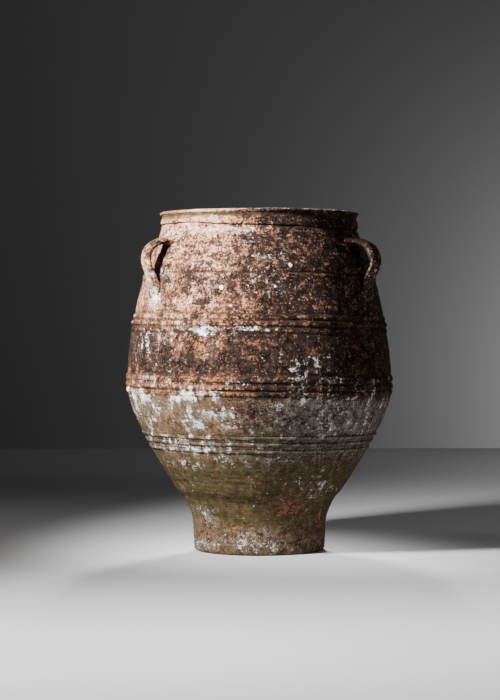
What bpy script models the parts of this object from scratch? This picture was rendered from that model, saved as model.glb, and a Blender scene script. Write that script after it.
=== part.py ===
"""A hand-built terracotta storage jar, modelled as its potter made it.

Each stage of the wall is its own ring, joined to the next on a bevel, and the joins are
covered by applied clay cordons. The floor, the folded rim, the lip and three strap
handles are separate pieces as well. Metres, +Z up, origin at the centre of the foot's
underside. The jar's axis is Z, and the back handle stands towards +Y.
"""

import math

import bmesh
import bpy
import numpy as np

# Driving dimensions
HEIGHT = 0.700
FLOOR_THICKNESS = 0.018
WALL_THICKNESS = 0.014
GAP = 0.0003  # between pieces that touch
JOINT_RISE = 0.008  # how far a bevelled joint climbs from the outside to the inside

# Outer face of the wall as (radius, height), from the foot to the neck
WALL_OUTLINE = [
    (0.1355, FLOOR_THICKNESS), (0.1370, 0.050), (0.1420, 0.076), (0.1720, 0.127),
    (0.2140, 0.194), (0.2490, 0.260), (0.2700, 0.312), (0.2750, 0.350),
    (0.2690, 0.427), (0.2560, 0.494), (0.2415, 0.560), (0.2280, 0.608),
    (0.2060, 0.655), (0.2025, 0.680),
]

# Heights where one stage of the wall ends and the next begins
FOOT_TOP = 0.229
LOWER_BELLY_TOP = 0.342
UPPER_BELLY_TOP = 0.470
SHOULDER_TOP = 0.653
NECK_TOP = 0.682
NECK_BEVEL_START = 0.664
NECK_BEVEL_DEPTH = 0.0075

# Applied cordons: name, height of the middle, width up the wall, how far it stands out
CORDONS = [
    ("lower_cordon_1", 0.2155, 0.0080, 0.0030),
    ("lower_cordon_2", 0.2300, 0.0080, 0.0034),
    ("lower_cordon_3", 0.2430, 0.0080, 0.0036),
    ("belly_cordon_1", 0.3310, 0.0105, 0.0028),
    ("belly_cordon_2", 0.3435, 0.0110, 0.0032),
    ("belly_cordon_3", 0.3590, 0.0120, 0.0036),
    ("shoulder_cordon_1", 0.4570, 0.0090, 0.0020),
    ("shoulder_cordon_2", 0.4700, 0.0110, 0.0040),
    ("shoulder_cordon_3", 0.4830, 0.0100, 0.0024),
]

# Rim
COLLAR_BOTTOM = 0.6675
LIP_BOTTOM = 0.6920
COLLAR_RADIUS = 0.2040
LIP_RADIUS = 0.2068
MOUTH_RADIUS = 0.1830
INNER_NECK_RADIUS = 0.1875

# Strap handles
HANDLE_WIDTH = 0.038
HANDLE_THICKNESS = 0.012
HANDLE_DIRECTIONS = {"handle_left": 210.0, "handle_right": 330.0, "handle_back": 90.0}
# Middle line of the strap as (distance from the jar's axis, height, size of its section),
# top end first. It is thickest where it springs from the shoulder, and thins downwards.
HANDLE_PATH = [
    (0.198, 0.6365, 1.18), (0.216, 0.6380, 1.10), (0.238, 0.6350, 1.03), (0.2550, 0.6260, 1.00),
    (0.2650, 0.6115, 1.00), (0.2678, 0.5970, 1.00), (0.2640, 0.5825, 0.98),
    (0.2575, 0.5700, 0.96), (0.2525, 0.5575, 0.95), (0.2500, 0.5435, 0.94),
    (0.2485, 0.5295, 0.92), (0.2450, 0.5160, 0.80),
]

TURN_STEPS = 60
SMOOTH_ANGLE = math.radians(35)


def smooth_line(points, per_span):
    """Points along a Catmull-Rom curve through the given points."""
    line = [np.array(p) for p in points]
    line = [2 * line[0] - line[1], *line, 2 * line[-1] - line[-2]]
    made = []
    for a, b, c, d in zip(line, line[1:], line[2:], line[3:]):
        for t in np.arange(per_span) / per_span:
            made.append(
                0.5 * (2 * b + (c - a) * t + (2 * a - 5 * b + 4 * c - d) * t**2
                       + (3 * b - a - 3 * c + d) * t**3)
            )
    made.append(line[-2])
    return np.array(made)


OUTLINE = smooth_line(WALL_OUTLINE, 2)


def outer_radius(z):
    return float(np.interp(z, OUTLINE[:, 1], OUTLINE[:, 0]))


def heights_between(low, high):
    """The outline's heights from high down to low, so that every piece follows the same facets."""
    inside = [z for z in OUTLINE[::-1, 1] if low + 0.003 < z < high - 0.003]
    return [high, *inside, low]


def wall_slope(z):
    """Change of radius per metre of height."""
    step = 0.010
    return (outer_radius(z + step) - outer_radius(z - step)) / (2 * step)


def inner_radius(z):
    """The wall's inner face, one wall thickness in, measured square to the wall."""
    return outer_radius(z) - WALL_THICKNESS * math.hypot(1, wall_slope(z))


def material(name, colour, roughness):
    made = bpy.data.materials.new(name)
    made.use_nodes = True
    shader = made.node_tree.nodes["Principled BSDF"]
    shader.inputs["Base Color"].default_value = (*colour, 1)
    shader.inputs["Roughness"].default_value = roughness
    shader.inputs["Metallic"].default_value = 0.0
    return made


def collection(name):
    made = bpy.data.collections.new(name)
    bpy.context.scene.collection.children.link(made)
    return made


def turned(name, profile, holder, finish):
    """A ring or disc turned round Z from (radius, height) points, outer side first, top to bottom."""
    mesh = bpy.data.meshes.new(name)
    points = [(r, 0, z) for r, z in profile]
    on_axis = profile[0][0] == 0
    count = len(points)
    edges = [(i, i + 1) for i in range(count - 1)]
    if not on_axis:
        edges.append((count - 1, 0))
    mesh.from_pydata(points, edges, [])
    made = bpy.data.objects.new(name, mesh)
    holder.objects.link(made)
    screw = made.modifiers.new("turn", "SCREW")
    screw.axis = "Z"
    screw.angle = math.tau
    screw.steps = TURN_STEPS
    screw.render_steps = TURN_STEPS
    screw.use_merge_vertices = True
    screw.merge_threshold = 0.00005
    screw.use_smooth_shade = True
    mesh.materials.append(finish)
    return made


def floor_disc(holder, finish):
    """The slab that the jar was started on. Its lower edge is worn round."""
    top = FLOOR_THICKNESS - GAP
    profile = [
        (0.0, top), (0.1355, top), (0.1345, 0.0065), (0.1325, 0.0020), (0.1290, 0.0),
        (0.0, 0.0),
    ]
    return turned("floor_disc", profile, holder, finish)


def wall_section(name, low, high, holder, finish, low_rise=JOINT_RISE):
    """One stage of the wall between two joints, given by their heights on the outside."""
    outer = [(outer_radius(z), z) for z in heights_between(low + GAP, high)]
    inside = heights_between(low + low_rise + GAP, high + JOINT_RISE)
    inner = [(inner_radius(z), z) for z in inside[::-1]]
    return turned(name, outer + inner, holder, finish)


def neck_section(holder, finish):
    """The short neck. Its top is bevelled on the outside, where the rim folds over it."""
    low_outside = SHOULDER_TOP + GAP
    low_inside = SHOULDER_TOP + JOINT_RISE + GAP
    top_radius = outer_radius(NECK_BEVEL_START) - NECK_BEVEL_DEPTH
    profile = [
        (top_radius, NECK_TOP),
        (outer_radius(NECK_BEVEL_START), NECK_BEVEL_START),
        (outer_radius(low_outside), low_outside),
        (inner_radius(low_inside), low_inside),
        (INNER_NECK_RADIUS, NECK_TOP),
    ]
    return turned("neck", profile, holder, finish)


def rim_collar(holder, finish):
    """The band of clay folded down over the neck, under the lip."""
    bevel_run = NECK_TOP - NECK_BEVEL_START
    share = (COLLAR_BOTTOM - NECK_BEVEL_START) / bevel_run
    edge_radius = outer_radius(NECK_BEVEL_START) - share * NECK_BEVEL_DEPTH
    bevel_top = outer_radius(NECK_BEVEL_START) - NECK_BEVEL_DEPTH
    top = LIP_BOTTOM - GAP
    profile = [
        (COLLAR_RADIUS - 0.0014, top),
        (COLLAR_RADIUS - 0.0020, top - 0.0030),
        (COLLAR_RADIUS - 0.0002, top - 0.0075),
        (COLLAR_RADIUS, COLLAR_BOTTOM + 0.0060),
        (COLLAR_RADIUS - 0.0008, COLLAR_BOTTOM),
        (edge_radius + 1.5 * GAP, COLLAR_BOTTOM),
        (bevel_top + 1.5 * GAP, NECK_TOP + GAP),
        (INNER_NECK_RADIUS, NECK_TOP + GAP),
        (MOUTH_RADIUS + 0.0022, top),
    ]
    return turned("rim_collar", profile, holder, finish)


def rim_lip(holder, finish):
    """The rounded lip, which turns outwards and down."""
    profile = [
        (0.1975, HEIGHT), (0.2030, HEIGHT - 0.0012), (0.2060, HEIGHT - 0.0032),
        (LIP_RADIUS, HEIGHT - 0.0052), (0.2055, LIP_BOTTOM),
        (MOUTH_RADIUS + 0.0012, LIP_BOTTOM), (MOUTH_RADIUS, HEIGHT - 0.0050),
        (MOUTH_RADIUS + 0.0030, HEIGHT - 0.0015), (MOUTH_RADIUS + 0.0080, HEIGHT),
    ]
    return turned("rim_lip", profile, holder, finish)


def cordon(name, middle, width, proud, holder, finish):
    """A thin coil pressed onto the wall over a joint, half-round outside."""
    def seat(z):
        return outer_radius(z) + 2 * GAP

    top, bottom = middle + width / 2, middle - width / 2
    edge = 0.0004  # thickness left at the feathered edges
    profile = [
        (seat(top) + edge, top),
        (seat(middle) + proud, middle),
        (seat(bottom) + edge, bottom),
        (seat(bottom), bottom),
        (seat(top), top),
    ]
    return turned(name, profile, holder, finish)


def strap_section(holder):
    """Outline of the strap across its length: a flat oval, thickness by width."""
    curve = bpy.data.curves.new("strap_section", "CURVE")
    curve.dimensions = "2D"
    count = 16
    spline = curve.splines.new("POLY")
    spline.points.add(count - 1)
    for i, point in enumerate(spline.points):
        turn = math.tau * i / count
        squareness = 0.62  # 1 is an ellipse, and towards 0 is a rectangle
        across = math.copysign(abs(math.cos(turn)) ** squareness, math.cos(turn))
        along = math.copysign(abs(math.sin(turn)) ** squareness, math.sin(turn))
        point.co = (across * HANDLE_THICKNESS / 2, along * HANDLE_WIDTH / 2, 0, 1)
    spline.use_cyclic_u = True
    made = bpy.data.objects.new("strap_section", curve)
    made.hide_render = True
    made.display_type = "WIRE"
    holder.objects.link(made)
    return made


def wall_cutter(holder, finish):
    """The jar's outside as a solid, a gap larger, for trimming the handles' ends."""
    heights = heights_between(0.500, 0.675)
    profile = [(0.0, heights[0])]
    profile += [(outer_radius(z) + 2 * GAP, z) for z in heights]
    profile += [(0.0, heights[-1])]
    made = turned("wall_cutter", profile, holder, finish)
    made.hide_render = True
    made.display_type = "WIRE"
    return made


def handle(name, direction, section, cutter, holder, finish):
    """A pulled strap, luted to the shoulder at both ends."""
    curve = bpy.data.curves.new(name + "_path", "CURVE")
    curve.dimensions = "2D"
    curve.bevel_mode = "OBJECT"
    curve.bevel_object = section
    curve.use_fill_caps = True
    line = smooth_line(HANDLE_PATH, 2)
    spline = curve.splines.new("POLY")
    spline.points.add(len(line) - 1)
    for point, (out, up, size) in zip(spline.points, line):
        point.co = (out, up, 0, 1)
        point.radius = size
    guide = bpy.data.objects.new(name + "_path", curve)
    guide.rotation_euler = (math.pi / 2, 0, math.radians(direction))
    holder.objects.link(guide)
    bpy.context.view_layer.update()

    graph = bpy.context.evaluated_depsgraph_get()
    mesh = bpy.data.meshes.new_from_object(guide.evaluated_get(graph))
    shape = bmesh.new()
    shape.from_mesh(mesh)
    bmesh.ops.remove_doubles(shape, verts=shape.verts, dist=0.00002)
    bmesh.ops.recalc_face_normals(shape, faces=shape.faces)
    shape.to_mesh(mesh)
    shape.free()
    mesh.name = name
    made = bpy.data.objects.new(name, mesh)
    made.matrix_world = guide.matrix_world.copy()
    holder.objects.link(made)
    bpy.data.objects.remove(guide)

    trim = made.modifiers.new("trim_to_wall", "BOOLEAN")
    trim.operation = "DIFFERENCE"
    trim.solver = "EXACT"
    trim.object = cutter
    mesh.shade_smooth()
    mesh.set_sharp_from_angle(angle=SMOOTH_ANGLE)
    mesh.materials.clear()
    mesh.materials.append(finish)
    return made


def main():
    for old in list(bpy.data.objects):
        bpy.data.objects.remove(old)
    jar = collection("storage_jar")
    helpers = collection("cutters")

    upper = material("terracotta", (0.43, 0.21, 0.13), 0.85)
    dark = material("terracotta_dark", (0.20, 0.10, 0.065), 0.85)
    lower = material("terracotta_stained", (0.24, 0.17, 0.09), 0.88)

    floor_disc(jar, lower)
    wall_section("foot_wall", FLOOR_THICKNESS, FOOT_TOP, jar, lower, low_rise=0.0)
    wall_section("lower_belly", FOOT_TOP, LOWER_BELLY_TOP, jar, lower)
    wall_section("upper_belly", LOWER_BELLY_TOP, UPPER_BELLY_TOP, jar, dark)
    wall_section("shoulder", UPPER_BELLY_TOP, SHOULDER_TOP, jar, upper)
    neck_section(jar, upper)
    rim_collar(jar, upper)
    rim_lip(jar, upper)
    for name, middle, width, proud in CORDONS:
        finish = lower if name.startswith("lower") else upper
        cordon(name, middle, width, proud, jar, finish)

    section = strap_section(helpers)
    cutter = wall_cutter(helpers, upper)
    for name, direction in HANDLE_DIRECTIONS.items():
        handle(name, direction, section, cutter, jar, upper)


main()
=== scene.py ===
"""The storage jar at rest in a plain studio, in weathered terracotta.

The wall, cordons, rim and handles are built from one description of the jar's surface, so
that neighbouring pieces meet edge to edge. Metres, +Z up. The camera stands near -Y.
"""

import math

import bpy
import numpy as np
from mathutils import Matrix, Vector


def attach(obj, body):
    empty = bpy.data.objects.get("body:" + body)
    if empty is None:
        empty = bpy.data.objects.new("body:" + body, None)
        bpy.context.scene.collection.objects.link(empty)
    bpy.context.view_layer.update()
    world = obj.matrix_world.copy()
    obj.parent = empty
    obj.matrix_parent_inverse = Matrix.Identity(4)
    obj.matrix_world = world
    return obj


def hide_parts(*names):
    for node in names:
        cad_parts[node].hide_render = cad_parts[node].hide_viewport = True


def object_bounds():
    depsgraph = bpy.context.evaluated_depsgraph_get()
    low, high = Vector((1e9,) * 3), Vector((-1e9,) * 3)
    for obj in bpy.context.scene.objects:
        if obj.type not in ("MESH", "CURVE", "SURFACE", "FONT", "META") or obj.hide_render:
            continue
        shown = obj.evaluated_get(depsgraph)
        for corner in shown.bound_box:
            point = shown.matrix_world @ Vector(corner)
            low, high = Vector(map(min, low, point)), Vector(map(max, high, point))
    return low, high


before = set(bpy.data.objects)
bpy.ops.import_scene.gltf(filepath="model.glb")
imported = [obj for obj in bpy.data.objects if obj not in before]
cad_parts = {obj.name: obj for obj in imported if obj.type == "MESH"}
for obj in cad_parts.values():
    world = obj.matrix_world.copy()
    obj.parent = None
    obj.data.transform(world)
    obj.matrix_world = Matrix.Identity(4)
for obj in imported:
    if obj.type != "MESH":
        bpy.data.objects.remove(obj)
cad_low, cad_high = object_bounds()

# Detail: columns and rows of points, points in each span of a curve, and steps between rows
COLUMNS = 720
ROW_STEP = 0.0023
INSIDE_STEP = 0.012
NECK_ROWS = 8
COLLAR_SPAN = 2
LIP_SPAN = 3
CORDON_ROWS = 9
STRAP_SPAN = 10
STRAP_AROUND = 56

# The camera: its direction round the jar's axis in degrees, and what it looks at
CAMERA_DIRECTION = 268.5
CAMERA_DISTANCE = 4.37
CAMERA_HEIGHT = 0.475
AIM_HEIGHT = 0.4147
AIM_LEFT = 0.0194
LENS_MM = 108
SENSOR_MM = 36

# The jar's main sizes
HEIGHT = float(cad_high[2])
WALL_THICKNESS = 0.014
FLOOR_TOP = 0.018
FOOT_TOP = 0.229
LOWER_BELLY_TOP = 0.342
UPPER_BELLY_TOP = 0.470
SHOULDER_TOP = 0.653
NECK_TOP = 0.682
LIP_BOTTOM = 0.692
MOUTH_RADIUS = 0.183
LIP_JOINT_RADIUS = MOUTH_RADIUS + 0.0022
INNER_NECK_RADIUS = 0.1875
# A joint lies this much higher inside the wall than outside
JOINT_RISE = 0.008
# The open crack under the folded collar, and the relief given to its hidden faces, which darkens them as
# painted shade
CRACK_GAP = 0.0020
CRACK_SHADE_RELIEF = -0.002
# How steeply the jar's rings tilt, at half its height
LEAN = 0.011

# Outer face of the wall as (radius, height), from the foot to the neck
WALL_OUTLINE = [
    (0.1345, 0.006), (0.1362, 0.020), (0.1372, 0.050), (0.1415, 0.076), (0.1560, 0.108),
    (0.1720, 0.127), (0.1865, 0.151), (0.2140, 0.194), (0.2400, 0.243), (0.2540, 0.270),
    (0.2680, 0.306), (0.2738, 0.330), (0.2748, 0.360), (0.2715, 0.400), (0.2680, 0.430),
    (0.2600, 0.480), (0.2500, 0.526), (0.2420, 0.560), (0.2385, 0.580), (0.2300, 0.603),
    (0.2180, 0.628), (0.2085, 0.648), (0.2030, 0.666), (0.2020, 0.690),
]

# Applied cordons: middle height, width up the wall, how far it stands out
CORDONS = {
    "lower_cordon_1": (0.2155, 0.0080, 0.0030),
    "lower_cordon_2": (0.2300, 0.0080, 0.0034),
    "lower_cordon_3": (0.2430, 0.0080, 0.0036),
    "belly_cordon_1": (0.3310, 0.0105, 0.0028),
    "belly_cordon_2": (0.3435, 0.0110, 0.0032),
    "belly_cordon_3": (0.3590, 0.0120, 0.0036),
    "shoulder_cordon_1": (0.4570, 0.0090, 0.0020),
    "shoulder_cordon_2": (0.4700, 0.0110, 0.0040),
    "shoulder_cordon_3": (0.4830, 0.0100, 0.0024),
}
# The wall has a second ring this far inside each edge of a cordon, and sinks between the two
CORDON_EDGE = 0.0009
CORDON_SINK = 0.0013
# The deepest line, level with the middle of the handles
SHOULDER_LINE = 0.5715
# Lines cut in while the jar turned: height, depth (negative stands out), half-width
TOOLED_LINES = [
    (0.0240, 0.0010, 0.0018), (0.1540, -0.0010, 0.0030), (0.3205, 0.0013, 0.0016),
    (0.3690, 0.0018, 0.0018), (0.4490, 0.0016, 0.0014), (0.4905, 0.0016, 0.0016),
    (0.5520, 0.0010, 0.0012), (0.5655, -0.0022, 0.0028), (SHOULDER_LINE, 0.0026, 0.0016),
    (0.6120, 0.0009, 0.0014), (0.6250, 0.0006, 0.0014), (0.6400, 0.0010, 0.0016),
    (0.6520, -0.0012, 0.0022),
]
# A line deeper than this has rings of its own in the wall
DEEP_LINE = 0.0015
# Round spots of lichen: degrees right of the camera's line, height, radius
SPOTS = [
    (-17.7, 0.5405, 0.0046), (14.9, 0.5860, 0.0040), (7.2, 0.5430, 0.0024),
    (-12.9, 0.5050, 0.0032), (128.0, 0.5550, 0.0046), (-140.0, 0.5260, 0.0040),
]

# Strap handles
HANDLES = {"handle_left": 210.0, "handle_right": 330.0, "handle_back": 90.0}
HANDLE_WIDTHS = {"handle_left": 0.034, "handle_right": 0.041, "handle_back": 0.038}
HANDLE_THICKNESS = 0.0125
# An end of a strap reaches this far below the wall's face
HANDLE_DEPTH = 0.003
# Middle line of the strap as (distance from the jar's axis, height, size of its section)
HANDLE_PATH = [
    (0.203, 0.6365, 1.18), (0.216, 0.6380, 1.10), (0.238, 0.6350, 1.03), (0.2550, 0.6260, 1.00),
    (0.2650, 0.6115, 1.00), (0.2678, 0.5970, 1.00), (0.2640, 0.5825, 0.98),
    (0.2575, 0.5700, 0.96), (0.2525, 0.5575, 0.95), (0.2500, 0.5435, 0.94),
    (0.2485, 0.5295, 0.92), (0.2400, 0.5130, 0.60),
]

THETA = np.linspace(0, math.tau, COLUMNS, endpoint=False)


# --- Numbers -------------------------------------------------------------------------------


def smooth_line(points, per_span):
    """Points along a Catmull-Rom curve through the given points."""
    line = [np.array(p) for p in points]
    line = [2 * line[0] - line[1], *line, 2 * line[-1] - line[-2]]
    made = []
    for a, b, c, d in zip(line, line[1:], line[2:], line[3:]):
        for t in np.arange(per_span) / per_span:
            made.append(
                0.5 * (2 * b + (c - a) * t + (2 * a - 5 * b + 4 * c - d) * t**2
                       + (3 * b - a - 3 * c + d) * t**3)
            )
    made.append(line[-2])
    return np.array(made)


def noise(points, size, seed):
    """Smooth noise from about -1 to 1 at each point. size is the cell's, one number or one per axis."""
    random = np.random.default_rng(seed)
    table = random.permutation(256)
    slopes = random.normal(size=(256, 3))
    slopes /= np.linalg.norm(slopes, axis=1, keepdims=True)
    scaled = points / np.asarray(size, float)
    cell = np.floor(scaled).astype(int)
    inside = scaled - cell
    ease = inside**3 * (inside * (inside * 6 - 15) + 10)
    total = np.zeros(points.shape[:-1])
    for corner in np.ndindex(2, 2, 2):
        key = table[(cell[..., 0] + corner[0]) & 255]
        key = table[(key + cell[..., 1] + corner[1]) & 255]
        key = table[(key + cell[..., 2] + corner[2]) & 255]
        share = np.prod(np.where(corner, ease, 1 - ease), axis=-1)
        total += share * np.sum(slopes[key] * (inside - corner), axis=-1)
    return total * 1.6


def cloud(points, size, seed, octaves=3):
    """Noise with finer noise added, each octave half the size and about half the strength."""
    size = np.asarray(size, float)
    total = sum(noise(points, size / 2**i, seed + i) * 0.55**i for i in range(octaves))
    return total / sum(0.55**i for i in range(octaves)) * 1.25


def ramp(value, start, end):
    """0 at start and 1 at end, easing between. start may be above end."""
    t = np.clip((value - start) / (end - start), 0, 1)
    return t * t * (3 - 2 * t)


def band(value, low, high, soft):
    """1 between low and high, falling to 0 over soft on either side."""
    return ramp(value, low - soft, low + soft) * ramp(value, high + soft, high - soft)


def hump(value, middle, width):
    return np.exp(-(((value - middle) / width) ** 2))


def sweep(side, start, end):
    """A ramp across the front of the jar that dies away to nothing round the back, where side wraps."""
    return ramp(side, start, end) * ramp(abs(side), 172, 118)


def turned_from(theta, direction):
    """Angle in degrees from a direction, from -180 to 180."""
    return (np.degrees(theta) - direction + 180) % 360 - 180


# --- The jar's surface ---------------------------------------------------------------------

OUTLINE = smooth_line(WALL_OUTLINE, 8)


def wall_radius(z):
    return np.interp(z, OUTLINE[:, 1], OUTLINE[:, 0])


def wall_slope(z, step=0.006):
    return (wall_radius(z + step) - wall_radius(z - step)) / (2 * step)


def spot(radius, theta, z):
    """The point itself, as an array with x, y and z last."""
    radius, theta, z = np.broadcast_arrays(radius, theta, z)
    return np.stack([radius * np.cos(theta), radius * np.sin(theta), z], axis=-1)


def dip(points):
    """How far the hand-thrown jar sinks to the right, and rises to the left, of its axis."""
    return LEAN * points[..., 0] * np.sin(np.pi * np.clip(points[..., 2] / HEIGHT, 0, 1))


def settled(points):
    moved = points.copy()
    moved[..., 2] -= dip(points)
    return moved


def handle_swell(theta, z):
    """Clay smeared over the wall round both ends of each handle."""
    swell = 0.0
    for direction in HANDLES.values():
        across = np.radians(turned_from(theta, direction)) * wall_radius(z)
        swell = swell + 0.0050 * hump(across, 0, 0.024) * hump(z, 0.6400, 0.012)
        swell = swell + 0.0034 * hump(across, 0, 0.018) * band(z, 0.528, 0.550, 0.014)
    return swell


def wall_relief(theta, z):
    """How far the worn surface stands out: throwing rings, tooled lines, grain, pits and chips."""
    p = spot(wall_radius(z), theta, z)
    rings = p * (0.35, 0.35, 1)
    relief = 0.00042 * noise(rings, 0.013, 3) + 0.00022 * noise(rings, 0.0055, 4)
    waver = 0.0010 * noise(p * (1, 1, 0.2), 0.12, 5)
    for height, depth, half_width in TOOLED_LINES:
        fade = 0.75 + 0.45 * noise(p + height, 0.06, 6)
        relief -= depth * fade * hump(z + waver, height, half_width)
    relief += 0.00030 * cloud(p, 0.012, 7)
    pits = ramp(cloud(p, 0.009, 11), 0.42, 0.75)
    chips = ramp(noise(p, 0.021, 15) + 0.3 * noise(p, 0.006, 16), 0.62, 0.80)
    return relief - 0.00060 * pits - 0.0010 * chips


def wander(theta, z):
    """How far the wall swings out from a true circle, with the clay smeared round the handles."""
    p = spot(wall_radius(z), theta, z)
    return 0.0011 * noise(p, 0.23, 1) + 0.0006 * noise(p, 0.07, 2) + handle_swell(theta, z)


def crust(theta, z):
    """Thickness of the lime on the wall."""
    p = spot(wall_radius(z), theta, z)
    return 0.0005 * ramp(lime_mask(p, theta, z) + 0.45 * cloud(p, 0.010, 21), 0.45, 0.75)


def wall_face(theta, z):
    """Radius of the worn, crusted wall."""
    return wall_radius(z) + wall_relief(theta, z) + wander(theta, z) + crust(theta, z)


def crack_height(theta):
    """Lower edge of the folded collar, which wanders round the neck."""
    side = turned_from(theta, CAMERA_DIRECTION)
    p = spot(0.2, theta, 0.0)
    sway = -0.0058 * np.sin(np.radians(side + 20)) + 0.0035 * hump(side, -45, 14)
    return 0.6690 + sway + 0.0012 * noise(p, 0.05, 31) + 0.0004 * noise(p, 0.015, 32)


# --- Where slip, lime, algae and dust lie, and where shade is painted ----------------------
#
# A mask is how much of a coat lies at each point. side is degrees right of the camera's line,
# and up is the height with its zones' edges broken up.


def lime_on_foot(side, z, up, broad):
    """Salts drawn up from the ground, and two patches above them."""
    lime = 0.38 * hump(up, 0.022, 0.014) * (0.9 + 0.5 * broad - 0.4 * sweep(side, 4, 30))
    lime += 0.26 * hump(up, 0.048, 0.016) * hump(side, -8, 24)
    lime += 0.36 * band(z, 0.056, 0.098, 0.006) * hump(side, -48, 12)
    return lime + 0.24 * hump(up, 0.140, 0.034) * hump(side, 38, 20)


def lime_on_lower_belly(side, z, up, patches):
    """Crust on the lower cordons and over the belly, thickest to the left."""
    lime = 0.20 * band(up, 0.172, 0.206, 0.014) * sweep(side, -20, -36)
    lime += 0.24 * hump(up, 0.200, 0.020) * hump(side, -10, 20)
    lime += (0.28 + 0.30 * patches) * band(z, 0.208, 0.248, 0.006) * sweep(side, 8, -22)
    lime += 0.30 * band(up, 0.252, 0.300, 0.010) * hump(side, -14, 16)
    lime += (0.30 + 0.42 * patches) * band(up, 0.262, 0.338, 0.014) * sweep(side, -2, -28)
    lime += 0.22 * band(up, 0.246, 0.330, 0.012) * sweep(side, 0, 28)
    return lime + 0.20 * hump(up, 0.312, 0.016) * band(side, 0, 34, 10)


def lime_on_belly_cordons(side, z, up, patches):
    lime = (0.10 + 0.40 * patches) * band(up, 0.318, 0.356, 0.006) * sweep(side, 10, -22)
    lime += 0.20 * hump(up, 0.354, 0.011) * band(side, -80, -2, 8)
    return lime + 0.16 * band(z, 0.328, 0.364, 0.006) * sweep(side, 0, 20)


def lime_on_upper_belly(side, z, up):
    """Patches to the right, runs at the far left, and lime caught under the shoulder cordons."""
    lime = 0.30 * hump(up, 0.388, 0.026) * hump(side, 16, 22)
    lime += 0.24 * hump(up, 0.425, 0.022) * hump(side, 30, 10)
    runs = hump(side, -60, 6) + 0.9 * hump(side, -45, 7)
    lime += 0.36 * band(up, 0.412, 0.456, 0.010) * runs
    lime += 0.56 * band(z, 0.444, 0.464, 0.005) * hump(side, -25, 9)
    return lime + 0.46 * band(z, 0.455, 0.465, 0.003) * hump(side, -2, 12)


def lime_on_shoulder(side, z, up):
    """A faint bloom, a run beside the left handle, and lime under the collar's edge."""
    lime = 0.20 * band(up, 0.520, 0.600, 0.02) * hump(side, -2, 34)
    lime += 0.42 * hump(side, -56, 4) * band(z, 0.500, 0.540, 0.008)
    lime += 0.24 * band(z, 0.600, 0.650, 0.010) * hump(side, 0, 16)
    return lime + 0.36 * band(z, 0.652, 0.664, 0.004) * sweep(side, 18, -8) * sweep(side, -70, -34)


def lime_on_rim(side, z):
    return 0.34 * ramp(z, 0.6955, 0.6985) + 0.36 * band(z, 0.677, 0.690, 0.003) * hump(side, -30, 11)


def lime_at_handles(theta, z):
    """Lime on the wall behind each handle's opening and below its lower end."""
    lime = 0.0
    runs = 0.40 * band(z, 0.545, 0.590, 0.020) + 0.20 * band(z, 0.490, 0.535, 0.012)
    for direction in HANDLES.values():
        lime = lime + hump(turned_from(theta, direction), 0, 5) * runs
    return lime


def lichen(side, z):
    """Round spots, as white as lime."""
    spots = 0.0
    for direction, height, radius in SPOTS:
        away = np.hypot(np.radians(side - direction) * wall_radius(z), z - height)
        spots = spots + 0.95 * ramp(away, radius * 1.1, radius * 0.7)
    return spots


def lime_mask(p, theta, z):
    """A thin scatter with drips, a bloom round the back, and the larger patches of each zone."""
    side = turned_from(theta, CAMERA_DIRECTION)
    broad = cloud(p, 0.09, 41)
    patches = cloud(p, 0.034, 47, 4)
    drips = cloud(p, (0.014, 0.014, 0.080), 44)
    up = z + 0.012 * broad + 0.006 * patches
    back = ramp(abs(side), 95, 130)
    mask = -0.02 + 0.08 * broad + 0.14 * patches + 0.05 * drips
    mask += 0.30 * drips * band(z, 0.10, 0.46, 0.03)
    mask += back * (0.22 * hump(up, 0.300, 0.045) + 0.22 * ramp(broad, 0.1, 0.5))
    mask += lime_on_foot(side, z, up, broad)
    mask += lime_on_lower_belly(side, z, up, patches)
    mask += lime_on_belly_cordons(side, z, up, patches)
    mask += lime_on_upper_belly(side, z, up)
    mask += lime_on_shoulder(side, z, up)
    mask += lime_on_rim(side, z)
    return mask + lime_at_handles(theta, z) + lichen(side, z)


def blend(below, above, share):
    return below + (above - below) * share


def slip_and_shade_mask(p, theta, z):
    """Dark slip: patchy on the shoulder, nearly whole on the upper belly and worn off below it. Painted
    shade: more of it towards the right side, where the jar turns from the light.
    """
    side = turned_from(theta, CAMERA_DIRECTION)
    broad = cloud(p, 0.075, 51)
    patches = cloud(p, 0.026, 57, 4)
    streaks = cloud(p, (0.018, 0.018, 0.110), 54)
    up = z + 0.010 * broad + 0.008 * patches
    # Painted shade: the slip grows towards the right side, standing in for the shadow there
    shade = sweep(side, -27, 28)

    shoulder = 0.50 + 0.30 * broad + 0.44 * patches + 0.20 * streaks + 0.72 * shade
    shoulder -= 0.20 * band(up, 0.648, 0.668, 0.006) * sweep(side, 24, -6)
    shoulder += 0.07 * hump(side, -38, 24) * band(up, 0.47, 0.64, 0.02)
    shoulder += 0.12 * band(up, 0.535, 0.572, 0.010)

    upper_belly = 1.04 + 0.30 * broad + 0.44 * patches + 0.46 * streaks + 0.30 * shade
    upper_belly -= 0.36 * hump(side, -21, 7) * hump(up, 0.400, 0.035)
    upper_belly -= 0.34 * hump(side, -36, 9) * hump(up, 0.430, 0.028)
    upper_belly += 0.12 * sweep(side, -32, -52)
    upper_belly += 0.20 * band(up, 0.374, 0.402, 0.012)

    # More slip on the cordons towards the right, as painted shade
    cordons = 0.56 + 0.14 * broad + 0.16 * patches + 0.50 * sweep(side, -20, 8)

    lower_belly = 0.12 + 0.12 * broad + 0.18 * patches + 0.16 * shade
    lower_belly += 0.50 * hump(side, -1, 11) * band(up, 0.258, 0.316, 0.016)

    mask = blend(lower_belly, cordons, ramp(up, 0.312, 0.330))
    mask = blend(mask, upper_belly, ramp(up, 0.360, 0.378))
    mask = blend(mask, shoulder, ramp(up, 0.440, 0.484))
    mask -= 0.34 * ramp(z, 0.664, 0.674) * sweep(side, 6, -24) * sweep(side, -120, -70)
    return mask - 0.08 * ramp(z, 0.12, 0.05)


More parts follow.
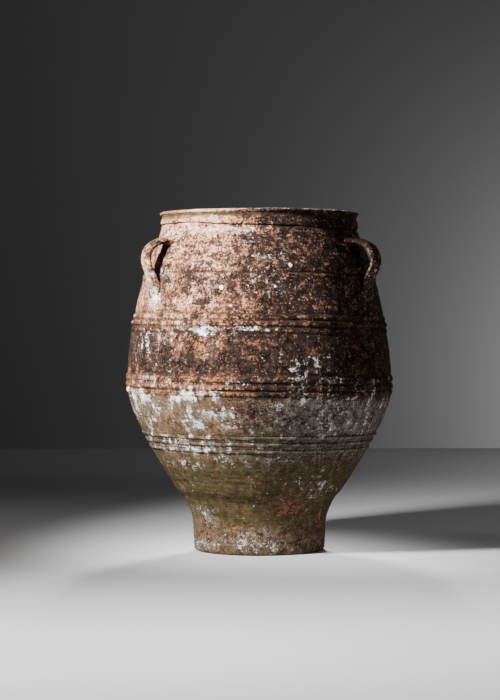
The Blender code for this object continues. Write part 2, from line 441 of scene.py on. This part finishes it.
def algae_mask(p, theta, z):
    """Green on the foot, thinner on the lower belly, and a trace in the collar's hollow."""
    side = turned_from(theta, CAMERA_DIRECTION)
    broad = cloud(p, 0.10, 61)
    patches = cloud(p, 0.036, 67, 4)
    drips = cloud(p, (0.020, 0.020, 0.060), 64)
    up = z + 0.012 * broad
    mask = 0.70 * band(up, 0.060, 0.206, 0.024) + 0.18 * broad + 0.20 * patches + 0.12 * drips
    mask += 0.32 * band(up, 0.206, 0.320, 0.016) * (0.45 + 0.80 * hump(side, 0, 18))
    mask -= 0.46 * hump(up, 0.100, 0.024) * hump(side, 24, 14)
    mask -= 0.26 * hump(up, 0.145, 0.022) * hump(side, 34, 14)
    mask += 0.95 * hump(z, 0.688, 0.0056) * sweep(side, 30, 0) * sweep(side, -100, -60)
    return mask * ramp(z, 0.020, 0.050)


def dust_mask(p, theta, z):
    """Pale dust over the lower belly, thicker to the right."""
    side = turned_from(theta, CAMERA_DIRECTION)
    broad = cloud(p, 0.06, 71)
    patches = cloud(p, 0.022, 74, 4)
    mask = 0.62 * band(z, 0.165, 0.322, 0.018) * sweep(side, -20, 8) + 0.20 * broad + 0.16 * patches
    mask += 0.14 * band(z, 0.205, 0.320, 0.015) + 0.22 * band(z, 0.10, 0.20, 0.02) * patches
    return mask + 0.34 * hump(z, 0.075, 0.030) * hump(side, 30, 20)


def ochre_mask(p, side, z):
    """Where the clay turns tan: the lower belly and foot, but for a rusty patch."""
    mask = ramp(z, 0.348, 0.314) * (0.84 + 0.35 * cloud(p, 0.08, 81))
    return mask - 0.36 * hump(z, 0.098, 0.020) * hump(side, 22, 14)


def tint_mask(p, z):
    """Where the clay is pink instead of orange."""
    mask = 0.5 + 0.5 * cloud(p, 0.07, 84) - 0.6 * ramp(z, 0.31, 0.26)
    return mask - 0.5 * band(z + 0.02 * cloud(p, 0.05, 87), 0.325, 0.445, 0.02)


def dirt_and_shade_mask(side, z, relief, outside):
    """Dirt in the pits and grooves, and painted shade along both edges of each cordon, in the shoulder's
    tooled line towards the right, in the crack and in the hollow under the lip.
    """
    mask = ramp(-relief, 0.0003, 0.0014)
    for middle, width, _ in CORDONS.values():
        # Painted shade in the creases along each cordon's edges
        creases = hump(z, middle - width / 2, 0.0012) + hump(z, middle + width / 2, 0.0012)
        mask = mask + 0.75 * outside * creases
    # Painted shade in the shoulder's tooled line, growing towards the right
    return mask + 1.2 * outside * hump(z, SHOULDER_LINE, 0.0016) * ramp(side, -40, -15)


def coats(p, relief):
    """A piece's two colour attributes: (slip with painted shade, lime, algae, dust) and (ochre, tint,
    hollow dirt and painted shade, worn).
    """
    theta = np.arctan2(p[..., 1], p[..., 0])
    side = turned_from(theta, CAMERA_DIRECTION)
    z = p[..., 2] + dip(p)
    outside = np.hypot(p[..., 0], p[..., 1]) > wall_radius(z) - 0.008
    fade = np.where(outside, 1.0, 0.35)
    first = np.stack([
        slip_and_shade_mask(p, theta, z) * fade,
        lime_mask(p, theta, z) * fade,
        algae_mask(p, theta, z) * fade,
        np.where(outside, dust_mask(p, theta, z), 0.45),
    ], axis=-1)
    second = np.stack([
        ochre_mask(p, side, z),
        tint_mask(p, z),
        dirt_and_shade_mask(side, z, relief, outside),
        ramp(relief, 0.0006, 0.0020),
    ], axis=-1)
    return np.clip(first, 0, 1), np.clip(second, 0, 1)


# --- Materials -----------------------------------------------------------------------------

# Each coat's colour, from the darkest of its mottle to the palest
PINK_CLAY = (0.160, 0.066, 0.038), (0.70, 0.395, 0.255)
ORANGE_CLAY = (0.046, 0.016, 0.008), (0.36, 0.152, 0.068)
TAN_CLAY = (0.040, 0.026, 0.014), (0.170, 0.114, 0.067)
DUST = (0.026, 0.021, 0.017), (0.25, 0.220, 0.182)
ALGAE = (0.017, 0.013, 0.005), (0.100, 0.079, 0.032)
BROWN_SLIP = (0.010, 0.0055, 0.004), (0.070, 0.036, 0.026)
# Slip turns from brown to black where its mask is high, partly painted shade on the right side
BLACK_SLIP_AND_SHADE = (0.0012, 0.001, 0.001), (0.026, 0.0175, 0.0140)
DIRTY_LIME = (0.20, 0.185, 0.165), (0.60, 0.58, 0.555)
# Coats of one colour
CLEAN_LIME = (0.84, 0.83, 0.80)
LIME_HAZE = (0.32, 0.30, 0.285)
SALT = (0.74, 0.71, 0.67)
# Grime where the slip is heavy: dirt, and painted shade on the right side
GRIME_AND_SHADE = (0.040, 0.024, 0.018)
# Dirt in pits and grooves, and painted shade in creases, the crack and the hollow under the lip
DIRT_AND_SHADE = (0.022, 0.013, 0.009)


def colour(red, green, blue):
    return (red, green, blue, 1.0)


def grey(tone):
    return colour(tone, tone, tone)


class Shader:
    """A node material being written, with one method for each kind of node it uses."""

    def __init__(self, name):
        self.material = bpy.data.materials.new(name)
        self.material.use_nodes = True
        self.tree = self.material.node_tree
        self.surface = self.tree.nodes["Principled BSDF"]
        self.place = self.tree.nodes.new("ShaderNodeTexCoord").outputs["Object"]

    def put(self, socket, value):
        if isinstance(value, bpy.types.NodeSocket):
            self.tree.links.new(value, socket)
        else:
            socket.default_value = value

    def noise(self, scale, detail, roughness, stretch=(1, 1, 1), shift=0.0):
        place = self.tree.nodes.new("ShaderNodeMapping")
        self.put(place.inputs["Vector"], self.place)
        place.inputs["Scale"].default_value = stretch
        place.inputs["Location"].default_value = (shift, shift, shift)
        made = self.tree.nodes.new("ShaderNodeTexNoise")
        self.put(made.inputs["Vector"], place.outputs["Vector"])
        made.inputs["Scale"].default_value = scale
        made.inputs["Detail"].default_value = detail
        made.inputs["Roughness"].default_value = roughness
        return made.outputs["Fac"]

    def maths(self, operation, first, second=0.0, third=0.0):
        made = self.tree.nodes.new("ShaderNodeMath")
        made.operation = operation
        for socket, value in zip(made.inputs, (first, second, third)):
            self.put(socket, value)
        return made.outputs["Value"]

    def spread(self, value, low, high, to_low=0.0, to_high=1.0):
        made = self.tree.nodes.new("ShaderNodeMapRange")
        made.interpolation_type = "SMOOTHSTEP"
        for name, given in (("Value", value), ("From Min", low), ("From Max", high),
                            ("To Min", to_low), ("To Max", to_high)):
            self.put(made.inputs[name], given)
        return made.outputs["Result"]

    def swing(self, texture, gain, middle):
        """A texture's swing about a half, made gain times as strong and moved to a new middle."""
        return self.maths("MULTIPLY_ADD", self.maths("SUBTRACT", texture, 0.5), gain, middle)

    def total(self, *weighed):
        """The sum of pairs of a texture and its weight."""
        made = 0.0
        for texture, weight in weighed:
            made = self.maths("MULTIPLY_ADD", texture, weight, made)
        return made

    def cover(self, mask, texture, softness, reach=2.3):
        """Where a coat lies: mask is how much of it there is, and texture breaks up its edge."""
        return self.spread(self.swing(texture, reach, mask), 0.5 - softness, 0.5 + softness)

    def mix(self, share, first, second):
        made = self.tree.nodes.new("ShaderNodeMix")
        made.data_type = "RGBA"
        colours = [socket for socket in made.inputs if socket.type == "RGBA"]
        self.put(made.inputs[0], share)
        self.put(colours[0], first)
        self.put(colours[1], second)
        return next(socket for socket in made.outputs if socket.type == "RGBA")

    def tones(self, share, pair):
        """A colour between the two of a pair."""
        dark, pale = pair
        return self.mix(share, colour(*dark), colour(*pale))

    def coat(self, base, share, strength, over):
        """A coat over a base colour, at most as strong as strength."""
        return self.mix(self.maths("MULTIPLY", share, strength), base, over)

    def channels(self, attribute):
        """An attribute's red, green, blue and alpha."""
        read = self.tree.nodes.new("ShaderNodeAttribute")
        read.attribute_name = attribute
        split = self.tree.nodes.new("ShaderNodeSeparateColor")
        self.put(split.inputs["Color"], read.outputs["Color"])
        return (*split.outputs[:3], read.outputs["Alpha"])


class WeatheredClay(Shader):
    """Fired clay with dust, algae, dark slip and lime over it, in that order, with painted shade in the
    slip and in the hollows.
    """

    def __init__(self):
        super().__init__("weathered_clay")
        # The slip channel also carries painted shade, heavier on the jar's right side
        self.slip, self.lime, self.algae, self.dust = self.channels("coats")
        self.ochre, self.tint, self.hollow, self.worn = self.channels("ground")
        self.grain = self.noise(900, 3, 0.65)
        self.speckle = self.noise(230, 6, 0.72, shift=3.1)
        self.blotch = self.noise(72, 7, 0.74, shift=7.7)
        self.flakes = self.noise(75, 8, 0.80, shift=5.3)
        self.film = self.noise(46, 7, 0.70, shift=9.2)
        self.lines = self.noise(150, 5, 0.65, stretch=(0.10, 0.10, 1.7), shift=1.7)
        soft = self.noise(64, 6, 0.72, shift=18.9)
        fine = self.noise(260, 5, 0.72, shift=16.4)
        self.mottle = self.spread(self.swing(fine, 3.0, self.swing(soft, 2.4, 0.5)), 0.0, 1.0)

    def bare(self):
        """The clay itself: pink or orange, and tan low on the jar."""
        pink = self.tones(self.mottle, PINK_CLAY)
        orange = self.tones(self.mottle, ORANGE_CLAY)
        clay = self.mix(self.cover(self.tint, self.film, 0.35), orange, pink)
        tan = self.tones(self.mottle, TAN_CLAY)
        return self.mix(self.cover(self.ochre, self.film, 0.30), clay, tan)

    def stained(self, clay):
        """Dust, then algae, then a haze of lime."""
        dusty = self.tones(self.mottle, DUST)
        clay = self.coat(clay, self.cover(self.dust, self.blotch, 0.20), 0.88, dusty)
        growth = self.spread(self.total((self.lines, 0.35), (self.blotch, 0.65)), 0.36, 0.64)
        green = self.tones(growth, ALGAE)
        clay = self.coat(clay, self.cover(self.algae, self.film, 0.24), 0.84, green)
        haze = self.cover(self.maths("ADD", self.lime, 0.06), self.film, 0.20)
        return self.coat(clay, haze, 0.34, colour(*LIME_HAZE))

    def slipped(self, clay):
        """The clay with grime and crisp flecks of dark slip, and where that slip lies. The slip channel
        carries painted shade on the right side, so grime and black slip gather there too.
        """
        # Grime where the slip is heavy, which includes painted shade on the right side
        clay = self.coat(clay, self.spread(self.slip, 0.50, 1.15), 0.50, colour(*GRIME_AND_SHADE))
        flecks = self.total((self.speckle, 0.46), (self.blotch, 0.40), (self.lines, 0.14))
        rubbed = self.maths("SUBTRACT", self.slip, self.maths("MULTIPLY", self.worn, 0.08))
        dark = self.cover(rubbed, flecks, 0.13, 11.5)
        dark = self.maths("MULTIPLY", dark, self.spread(self.slip, 0.10, 0.34))
        brown = self.tones(self.mottle, BROWN_SLIP)
        black = self.tones(self.mottle, BLACK_SLIP_AND_SHADE)
        # Black slip where the slip mask is highest, partly painted shade
        slip_and_shade_colour = self.mix(self.spread(self.slip, 0.42, 1.05), brown, black)
        return self.coat(clay, dark, 0.985, slip_and_shade_colour), dark

    def limed(self, clay):
        """The clay with flaking lime and flecks of salt, and where the lime's crust lies."""
        flaking = self.total((self.flakes, 0.56), (self.lines, 0.16), (self.speckle, 0.28))
        crust = self.cover(self.lime, flaking, 0.08, 5.0)
        thick = self.cover(self.maths("SUBTRACT", self.lime, 0.16), flaking, 0.16, 5.0)
        dirty = self.tones(self.mottle, DIRTY_LIME)
        clay = self.coat(clay, crust, 0.93, self.mix(thick, dirty, colour(*CLEAN_LIME)))
        grains = self.noise(210, 3, 0.5, shift=12.6)
        flecks = self.cover(self.spread(self.lime, 0.12, 0.52, -0.12, 0.27), grains, 0.05, 2.6)
        return self.coat(clay, flecks, 0.75, colour(*SALT)), crust

    def made(self):
        """The finished material."""
        clay, dark = self.slipped(self.stained(self.bare()))
        # Dirt in the pits, and painted shade in the creases, the crack and the hollow under the lip
        clay = self.coat(clay, self.hollow, 0.75, colour(*DIRT_AND_SHADE))
        clay, crust = self.limed(clay)
        rough = self.mix(crust, self.mix(dark, grey(0.88), grey(0.74)), grey(0.93))
        self.put(self.surface.inputs["Base Color"], clay)
        self.put(self.surface.inputs["Roughness"], rough)
        self.surface.inputs["Specular IOR Level"].default_value = 0.04

        bump = self.tree.nodes.new("ShaderNodeBump")
        bump.inputs["Strength"].default_value = 0.9
        bump.inputs["Distance"].default_value = 0.0026
        height = self.total((self.mottle, 0.50), (self.grain, 0.20), (crust, 0.40), (self.lines, 0.40))
        self.put(bump.inputs["Height"], height)
        self.put(self.surface.inputs["Normal"], bump.outputs["Normal"])
        return self.material


def plain(name, tone, roughness):
    shader = Shader(name)
    shader.surface.inputs["Base Color"].default_value = grey(tone)
    shader.surface.inputs["Roughness"].default_value = roughness
    shader.surface.inputs["Specular IOR Level"].default_value = 0.2
    return shader.material


# --- Pieces --------------------------------------------------------------------------------

CLAY = WeatheredClay().made()


def add_piece(name, points, faces, relief):
    """A mesh piece that stands for the CAD node of that name."""
    mesh = bpy.data.meshes.new(name + "_clay")
    mesh.from_pydata(points, [], faces)
    mesh.shade_smooth()
    mesh.set_sharp_from_angle(angle=math.radians(52))
    for label, values in zip(("coats", "ground"), coats(points, relief)):
        layer = mesh.color_attributes.new(label, "FLOAT_COLOR", "POINT")
        layer.data.foreach_set("color", values.astype(np.float32).ravel())
    mesh.materials.append(CLAY)
    piece = bpy.data.objects.new(name + "_clay", mesh)
    bpy.context.scene.collection.objects.link(piece)
    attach(piece, "root")
    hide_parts(name)


def ring_faces(rows, columns, closed):
    """Quads between rows of points. The columns always meet, and the rows meet too if closed."""
    row = np.arange(rows if closed else rows - 1)[:, None]
    column = np.arange(columns)[None, :]
    below = (row + 1) % rows
    beside = (column + 1) % columns
    corners = [row * columns + column, below * columns + column,
               below * columns + beside, row * columns + beside]
    return np.stack(corners, axis=-1).reshape(-1, 4).tolist()


def turned_rows(rows, reliefs):
    """Rows of (radius, height) as points round the jar, and how far each point stands out."""
    points = np.stack([settled(spot(radius, THETA, height)) for radius, height in rows])
    return points, np.stack([np.broadcast_to(value, THETA.shape) for value in reliefs])


def ring(name, rows, reliefs):
    """A closed ring from rows of (radius, height) round the jar, outer side first, top to bottom."""
    points, relief = turned_rows(rows, reliefs)
    faces = ring_faces(len(rows), COLUMNS, closed=True)
    add_piece(name, points.reshape(-1, 3), faces, relief.ravel())


def capped(name, points, middles, relief, flipped=False):
    """A piece from rows of points whose first and last rows are each filled in to a middle point."""
    rows, columns = points.shape[:2]
    faces = ring_faces(rows, columns, closed=False)
    start = (rows - 1) * columns
    first, last = rows * columns, rows * columns + 1
    for i in range(columns):
        after = (i + 1) % columns
        faces.append([first, i, after])
        faces.append([last, start + after, start + i])
    if flipped:
        faces = [face[::-1] for face in faces]
    add_piece(name, np.vstack([points.reshape(-1, 3), middles]), faces, np.append(relief, [0.0, 0.0]))


def section_heights(low, high):
    """Heights of a section's outer rings, top first, with one at each edge of a cordon or deep line."""
    marks = {low, high}
    for height, depth, half_width in TOOLED_LINES:
        if depth > DEEP_LINE:
            marks |= {z for z in (height - half_width, height, height + half_width) if low < z < high}
    for middle, width, _ in CORDONS.values():
        for edge, inward in ((middle - width / 2, CORDON_EDGE), (middle + width / 2, -CORDON_EDGE)):
            marks |= {z for z in (edge, edge + inward) if low < z < high}
    marks = sorted(marks, reverse=True)
    heights = [marks[0]]
    for above, below in zip(marks, marks[1:]):
        count = max(1, round((above - below) / ROW_STEP))
        heights += list(np.linspace(above, below, count + 1)[1:])
    return heights


def under_cordon(z):
    return any(abs(z - middle) < width / 2 - 0.0005 for middle, width, _ in CORDONS.values())


def outer_rows(heights):
    """Rows of the wall's face, sunk where a cordon covers it, and how far each stands out."""
    rows, reliefs = [], []
    for z in heights:
        face = wall_face(THETA, z)
        rows.append((face - CORDON_SINK if under_cordon(z) else face, z))
        reliefs.append(wall_relief(THETA, z))
    return rows, reliefs


def inner_rows(low, high):
    """Rows of the wall's inside, from low up to high, with the marks of the potter's fingers."""
    rows = []
    for z in np.linspace(low, high, max(2, round((high - low) / INSIDE_STEP) + 1)):
        thickness = WALL_THICKNESS * math.hypot(1, wall_slope(z))
        p = spot(0.2, THETA, z)
        marks = 0.0010 * math.sin(z / 0.0045) + 0.0012 * noise(p, 0.09, 91)
        rows.append((wall_radius(z) - thickness + marks, z))
    return rows


def wall_section(name, low, high, low_rise=JOINT_RISE):
    outer, reliefs = outer_rows(section_heights(low, high))
    inner = inner_rows(low + low_rise, high + JOINT_RISE)
    ring(name, outer + inner, reliefs + [0.0] * len(inner))


def neck():
    """The neck runs up behind the folded collar, with an open crack under the collar's edge."""
    crack = crack_height(THETA)
    rows, reliefs = [], []
    for share in np.linspace(1, 0, NECK_ROWS):
        z = SHOULDER_TOP + share * (crack - CRACK_GAP - SHOULDER_TOP)
        tuck = 0.0008 * ramp(share, 0.8, 1.0)
        rows.append((wall_face(THETA, z) - tuck, z))
        reliefs.append(wall_relief(THETA, z))
    behind = wall_radius(NECK_TOP) - 0.0065
    # The crack's hidden faces are darkened as painted shade
    top = [(behind, NECK_TOP), (behind, crack - 0.0010)]
    inner = inner_rows(SHOULDER_TOP + JOINT_RISE, SHOULDER_TOP + JOINT_RISE + 0.004)
    inner.append((INNER_NECK_RADIUS, NECK_TOP))
    ring("neck", top + rows + inner, [CRACK_SHADE_RELIEF] * 2 + reliefs + [0.0] * len(inner))


def rim_noise(height, seed):
    """Unevenness of the collar and lip at a height."""
    p = spot(0.2, THETA, height)
    return (0.0009 * noise(p, 0.11, seed) + 0.0004 * cloud(p, 0.016, seed + 1)
            - 0.0010 * ramp(noise(p, 0.018, seed + 5), 0.55, 0.8))


def collar():
    """The band folded down over the neck: a rolled lower edge and a hollow under the lip."""
    crack = crack_height(THETA)
    profile = [  # share of the way up from the crack to the lip, and radius
        (1.00, 0.2030), (0.93, 0.2022), (0.84, 0.2016), (0.74, 0.2018), (0.62, 0.2030),
        (0.48, 0.2042), (0.34, 0.2047), (0.20, 0.2047), (0.10, 0.2044), (0.03, 0.2037),
        (0.00, 0.2026),
    ]
    rows, reliefs = [], []
    for share, radius in smooth_line(profile, COLLAR_SPAN):
        z = crack + share * (LIP_BOTTOM - crack)
        rough = rim_noise(z, 101)
        rows.append((radius + rough, z))
        # The hollow under the lip gets a sunken relief only to darken it, as painted shade
        reliefs.append(np.full(COLUMNS, -0.0012 * hump(share, 0.84, 0.10)) + rough)
    behind = wall_radius(NECK_TOP) - 0.0055
    rows += [(behind, crack + 0.0004), (behind, NECK_TOP + 0.0008),
             (INNER_NECK_RADIUS, NECK_TOP + 0.0002), (LIP_JOINT_RADIUS, LIP_BOTTOM)]
    ring("rim_collar", rows, reliefs + [CRACK_SHADE_RELIEF] * 2 + [0.0, 0.0])


def lip():
    """The rounded lip, chipped and worn along its edge."""
    profile = [
        (0.1985, 0.6998), (0.2030, 0.6992), (0.2058, 0.6978), (0.2070, 0.6960),
        (0.2064, 0.6940), (0.2046, 0.6926), (0.2030, LIP_BOTTOM),
    ]
    inside = [(LIP_JOINT_RADIUS, LIP_BOTTOM), (MOUTH_RADIUS + 0.0004, 0.6950),
              (MOUTH_RADIUS + 0.0022, 0.6982), (MOUTH_RADIUS + 0.0080, 0.6996)]
    rows, reliefs = [], []
    for radius, z in [*smooth_line(profile, LIP_SPAN), *inside]:
        rough = rim_noise(z, 111)
        at_joint = radius < 0.2046 and z < 0.6930
        if at_joint:
            rough = rim_noise(LIP_BOTTOM, 101)
        wear = 0.0 if at_joint else 0.6 * rough
        rows.append((radius + rough, z + wear))
        reliefs.append(rough + 0.0006)
    ring("rim_lip", rows, reliefs)


def cordon(name, middle, width, proud):
    """A coil pressed onto the wall, rubbed down in places."""
    rows, reliefs = [], []
    for share in np.linspace(1, -1, CORDON_ROWS):
        z = middle + share * width / 2
        p = spot(wall_radius(z), THETA, z)
        left = 0.80 + 0.40 * noise(p, 0.05, 121) + 0.30 * noise(p, 0.012, 122)
        left -= 0.75 * ramp(noise(p, 0.026, 123), 0.35, 0.65)
        stand = proud * np.clip(left, 0.12, 1.2) * math.sqrt(max(0.0, 1 - share**2))
        rows.append((wall_face(THETA, z) + stand, z))
        reliefs.append(stand)
    for end in (-1, 1):
        z = middle + end * width / 2
        rows.append((wall_face(THETA, z) - 0.0008, z - end * 0.0003))
        reliefs.append(np.zeros(COLUMNS))
    ring(name, rows, reliefs)


def floor_disc():
    """The slab the jar stands on, its edge worn and chipped."""
    outer = [(FLOOR_TOP, 1.0), (0.0140, 1.0), (0.0100, 1.0), (0.0065, 1.0), (0.0038, 0.996),
             (0.0016, 0.986), (0.0, 0.962)]
    rows = [(r, FLOOR_TOP + 0.0006 * math.sin(r / 0.004)) for r in (0.02, 0.05, 0.08, 0.105)]
    rows.append((wall_radius(FLOOR_TOP) - WALL_THICKNESS, FLOOR_TOP))
    reliefs = [0.0] * len(rows)
    for z, share in outer:
        wear = 0.0018 * ramp(noise(spot(0.135, THETA, z), 0.03, 131), 0.2, 0.7) * ramp(z, 0.014, 0.0)
        rows.append((share * wall_face(THETA, z) - wear, z))
        reliefs.append(wall_relief(THETA, z))
    rows += [(0.100, 0.0008), (0.050, 0.0012)]
    reliefs += [0.0, 0.0]
    points, relief = turned_rows(rows, reliefs)
    points[..., 2] = np.maximum(points[..., 2], 0)
    capped("floor_disc", points, [[0, 0, FLOOR_TOP], [0, 0, 0.0012]], relief)


def strap_section(width):
    """Thickness and width round a strap's section, a rounded slab that thins to its edges."""
    turn = np.linspace(0, math.tau, STRAP_AROUND, endpoint=False)
    sine, cosine = np.sin(turn), np.cos(turn)
    thick = np.sign(cosine) * abs(cosine) ** 0.75 * HANDLE_THICKNESS / 2
    wide = np.sign(sine) * abs(sine) ** 0.62 * width / 2
    return thick * (1 - 0.22 * abs(sine) ** 3), wide


def pulled_strap(path, width):
    """A strap's points as (out, across, up), flared where they meet the wall."""
    out, up, size = path[:, 0:1], path[:, 1:2], path[:, 2:3]
    ahead = np.gradient(path[:, :2], axis=0)
    ahead /= np.linalg.norm(ahead, axis=1, keepdims=True)
    thick, wide = strap_section(width)
    radius = out - ahead[:, 1:2] * thick * size
    height = up + ahead[:, 0:1] * thick * size
    across = wide * size
    clear = np.hypot(radius, across) - wall_radius(height)
    flare = 0.42 * ramp(clear, 0.013, 0.0)
    across = across * (1 + flare)
    radius = radius + (radius - out) * flare * 0.5
    height = height + (height - up) * flare * 0.9
    return np.stack([radius, across, height], axis=-1)


def turned_to(direction, points):
    """Points given as (out, across, up), turned to a direction round the jar."""
    angle = math.radians(direction)
    axes = np.array([[math.cos(angle), math.sin(angle)], [-math.sin(angle), math.cos(angle)]])
    return np.concatenate([points[..., :2] @ axes, points[..., 2:]], axis=-1)


def kept_shallow(points):
    """A strap's points, with those inside the wall no deeper than HANDLE_DEPTH below its face."""
    reach = np.hypot(points[..., 0], points[..., 1])
    grow = np.maximum(reach, wall_radius(points[..., 2]) - HANDLE_DEPTH) / reach
    return points * np.stack([grow, grow, np.ones_like(grow)], axis=-1)


def handle(name, direction, seed):
    """A pulled strap whose ends flare into the wall, its surface worn and pitted."""
    path = smooth_line(HANDLE_PATH, STRAP_SPAN)
    points = turned_to(direction, pulled_strap(path, HANDLE_WIDTHS[name]))
    middles = turned_to(direction, np.stack([path[:, 0], np.zeros(len(path)), path[:, 1]], axis=-1))
    outward = points - middles[:, None, :]
    outward /= np.linalg.norm(outward, axis=-1, keepdims=True) + 1e-9
    rough = 0.0012 * noise(points, 0.035, seed) + 0.0005 * cloud(points, 0.010, seed + 1)
    rough -= 0.0009 * ramp(noise(points, 0.016, seed + 5), 0.5, 0.75)
    points = settled(kept_shallow(points + outward * rough[..., None]))
    ends = [points[0].mean(axis=0), points[-1].mean(axis=0)]
    capped(name, points, ends, rough + 0.0006, flipped=True)


floor_disc()
wall_section("foot_wall", FLOOR_TOP, FOOT_TOP, low_rise=0.0)
wall_section("lower_belly", FOOT_TOP, LOWER_BELLY_TOP)
wall_section("upper_belly", LOWER_BELLY_TOP, UPPER_BELLY_TOP)
wall_section("shoulder", UPPER_BELLY_TOP, SHOULDER_TOP)
neck()
collar()
lip()
for cordon_name, (cordon_middle, cordon_width, cordon_proud) in CORDONS.items():
    cordon(cordon_name, cordon_middle, cordon_width, cordon_proud)
for number, (handle_name, handle_direction) in enumerate(HANDLES.items()):
    handle(handle_name, handle_direction, 141 + 10 * number)


# --- Studio --------------------------------------------------------------------------------


def stage_plane(name, low, high, upright, finish):
    """A flat rectangle: in the ground between two (x, y) corners, or upright between two (x, z) ones."""
    (x0, v0), (x1, v1) = low, high
    if upright is None:
        points = [(x0, v0, 0), (x1, v0, 0), (x1, v1, 0), (x0, v1, 0)]
    else:
        points = [(x0, upright, v0), (x1, upright, v0), (x1, upright, v1), (x0, upright, v1)]
    mesh = bpy.data.meshes.new(name)
    mesh.from_pydata(points, [], [(0, 1, 2, 3)])
    mesh.materials.append(finish)
    made = bpy.data.objects.new(name, mesh)
    bpy.context.scene.collection.objects.link(made)


def aimed(obj, place, target):
    obj.location = place
    obj.rotation_euler = (Vector(target) - Vector(place)).to_track_quat("-Z", "Y").to_euler()
    bpy.context.scene.collection.objects.link(obj)
    return obj


def soft_light(name, place, target, size, power, spread):
    """A rectangular lamp. spread is how wide its beam opens, in degrees."""
    light = bpy.data.lights.new(name, "AREA")
    light.shape = "RECTANGLE"
    light.size, light.size_y = size
    light.energy = power
    light.spread = math.radians(spread)
    lamp = bpy.data.objects.new(name, light)
    lamp.visible_camera = False
    aimed(lamp, place, target)


# The floor is a low platform, and the backdrop hangs far enough behind it to walk round the jar.
FLOOR_END = 3.45
BACKDROP_Y = 4.90
stage_plane("studio_floor", (-6.0, -6.0), (6.0, FLOOR_END), None, plain("pale_floor", 0.50, 0.55))
stage_plane("backdrop", (-7.0, -1.0), (7.0, 6.0), BACKDROP_Y, plain("grey_backdrop", 0.20, 0.9))

# Each lamp: its name, place and target, then its size, watts and beam
soft_light("key", (-0.98, -0.84, 1.12), (0.0, 0, 0.455), (0.24, 0.24), 14.5, 52)
soft_light("floor_pool", (-2.4, -1.7, 1.9), (0.22, -1.28, 0), (0.5, 0.5), 32, 44)
soft_light("floor_left", (-2.0, 0.1, 1.6), (-1.0, -0.1, 0), (0.8, 0.8), 3, 80)
soft_light("side_fill", (2.4, -1.2, 1.2), (0, 0, 0.4), (1.2, 1.2), 5.4, 120)
soft_light("back_fill", (1.6, 2.9, 1.6), (1.5, 2.2, 0.0), (1.6, 1.0), 3.2, 120)
soft_light("rear", (0.04, 1.55, 1.25), (0.0, 0.10, 0.38), (0.30, 0.30), 2.6, 30)
soft_light("backdrop_light", (2.5, 3.70, 0.21), (2.1, 4.90, 0.09), (0.83, 0.59), 36, 150)
soft_light("backdrop_wash", (0.0, 1.75, 3.9), (0.25, 4.90, 1.55), (1.8, 0.7), 4.8, 110)

world = bpy.data.worlds.new("studio")
world.use_nodes = True
world.node_tree.nodes["Background"].inputs["Color"].default_value = colour(0.9, 0.95, 1.0)
world.node_tree.nodes["Background"].inputs["Strength"].default_value = 0.018
bpy.context.scene.world = world

# The lens is level but for a slight dip, and the jar stands a little right of the middle.
lens = bpy.data.cameras.new("camera")
lens.lens = LENS_MM
lens.sensor_width = SENSOR_MM
lens.clip_end = 50
stand = math.radians(CAMERA_DIRECTION)
right = Vector((-math.sin(stand), math.cos(stand), 0))
camera_place = (
    math.cos(stand) * CAMERA_DISTANCE,
    math.sin(stand) * CAMERA_DISTANCE,
    CAMERA_HEIGHT,
)
camera_target = Vector((0, 0, AIM_HEIGHT)) - right * AIM_LEFT
camera = aimed(bpy.data.objects.new("camera", lens), camera_place, camera_target)
bpy.context.scene.camera = camera
